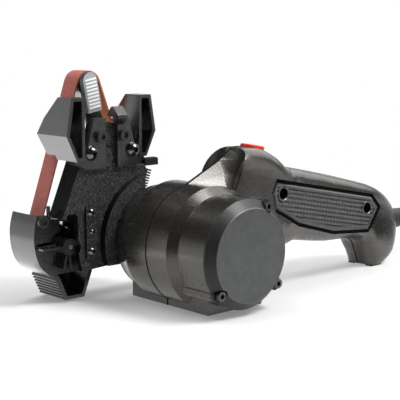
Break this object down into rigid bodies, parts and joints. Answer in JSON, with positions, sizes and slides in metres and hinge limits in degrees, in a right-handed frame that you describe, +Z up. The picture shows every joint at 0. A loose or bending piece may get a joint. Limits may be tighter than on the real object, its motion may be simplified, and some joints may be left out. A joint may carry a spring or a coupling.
{
  "type": "belt_knife_sharpener",
  "caption": "Electric belt knife sharpener: drum-shaped motor with a moulded handle and switch, carrying a turning cassette with a narrow abrasive belt, a tension lever and angled knife guides.",
  "frame": {"origin": "on the floor under the motor axis, in the plane of the housing seam, on the base pad's underside", "axes": "+X along the handle towards the lead, +Y along the motor axis towards the belt, +Z up"},
  "size_m": [0.3536, 0.2179, 0.1307],
  "materials": {
    "housing": "dark moulded plastic, faintly glossy",
    "grip": "dark textured grip plastic",
    "cassette_plastic": "black speckled plastic",
    "guide_plastic": "glossy black plastic",
    "button_red": "red plastic",
    "rubber": "matt black rubber",
    "steel": "bright turned steel",
    "chrome": "bright plated steel",
    "black_steel": "black oxide steel",
    "iron": "laminated iron",
    "copper": "copper and brass",
    "abrasive": "red-brown abrasive cloth",
    "lever_grey": "light grey plastic"
  },
  "bodies": {
    "motor_unit": {"near_shell": "housing", "far_shell": "housing", "end_cap": "housing", "end_cap_screws": "black_steel", "grip_panel_near": "grip", "grip_panel_far": "grip", "handle_screws": "steel", "foot_pads": "rubber", "stator": "iron", "brush_plate": "cassette_plastic", "rear_bearing": "steel", "front_bearing": "steel", "switch_block": "cassette_plastic", "button_spring": "black_steel", "retaining_ring": "steel", "strain_relief": "rubber", "cord_lead": "rubber", "cord_coil": "rubber", "cord_tie": "rubber", "plug": "rubber", "plug_blades": "copper"},
    "armature": {"motor_shaft": "steel", "rotor_core": "iron", "commutator": "copper", "cooling_fan": "housing", "drive_pulley": "guide_plastic", "pulley_screw": "steel"},
    "button": {"power_button": "button_red"},
    "cassette": {"cassette_frame": "cassette_plastic", "lower_cover": "cassette_plastic", "cover_screws": "chrome", "rim_screw": "black_steel", "idler_axle": "steel", "lever_pivot": "steel", "knife_guide_left": "guide_plastic", "knife_guide_right": "guide_plastic", "edge_stop": "cassette_plastic", "guide_screws": "chrome", "cap_screws": "black_steel", "abrasive_belt": "abrasive", "tension_spring": "black_steel"},
    "idler": {"idler_pulley": "guide_plastic"},
    "lever": {"tension_lever": "steel", "thumb_pad": "lever_grey", "tension_axle": "steel"},
    "tension_wheel": {"tension_pulley": "guide_plastic"}
  },
  "joints": [
    {"name": "motor_spin", "type": "hinge", "parent": "motor_unit", "child": "armature", "pos_m": [0, 0, 0.0336], "axis": [0, 1, 0], "continuous": true},
    {"name": "button_press", "type": "slide", "parent": "motor_unit", "child": "button", "axis": [-0.1908, 0, -0.9816], "range_m": [0, 0.0025], "stiffness_N_per_m": 300, "springref_m": -0.002, "deforming": ["button_spring"]},
    {"name": "cassette_turn", "type": "hinge", "parent": "motor_unit", "child": "cassette", "pos_m": [0, 0.036, 0.0336], "axis": [0, 1, 0], "range_deg": [0, 90]},
    {"name": "idler_spin", "type": "hinge", "parent": "cassette", "child": "idler", "pos_m": [-0.0575, 0.06, 0.0336], "axis": [0, 1, 0], "continuous": true},
    {"name": "lever_release", "type": "hinge", "parent": "cassette", "child": "lever", "pos_m": [-0.019, 0.0523, 0.086], "axis": [0, -1, 0], "range_deg": [0, 10], "stiffness_Nm_per_rad": 0.3, "springref_deg": -17.19, "deforming": ["tension_spring", "abrasive_belt"]},
    {"name": "tension_spin", "type": "hinge", "parent": "lever", "child": "tension_wheel", "pos_m": [-0.0315, 0.06, 0.1223], "axis": [0, 1, 0], "continuous": true}
  ],
  "couplings": [
    {"joint": "idler_spin", "follows": "motor_spin", "ratio": 0.7632},
    {"joint": "tension_spin", "follows": "motor_spin", "ratio": 1.1918}
  ]
}
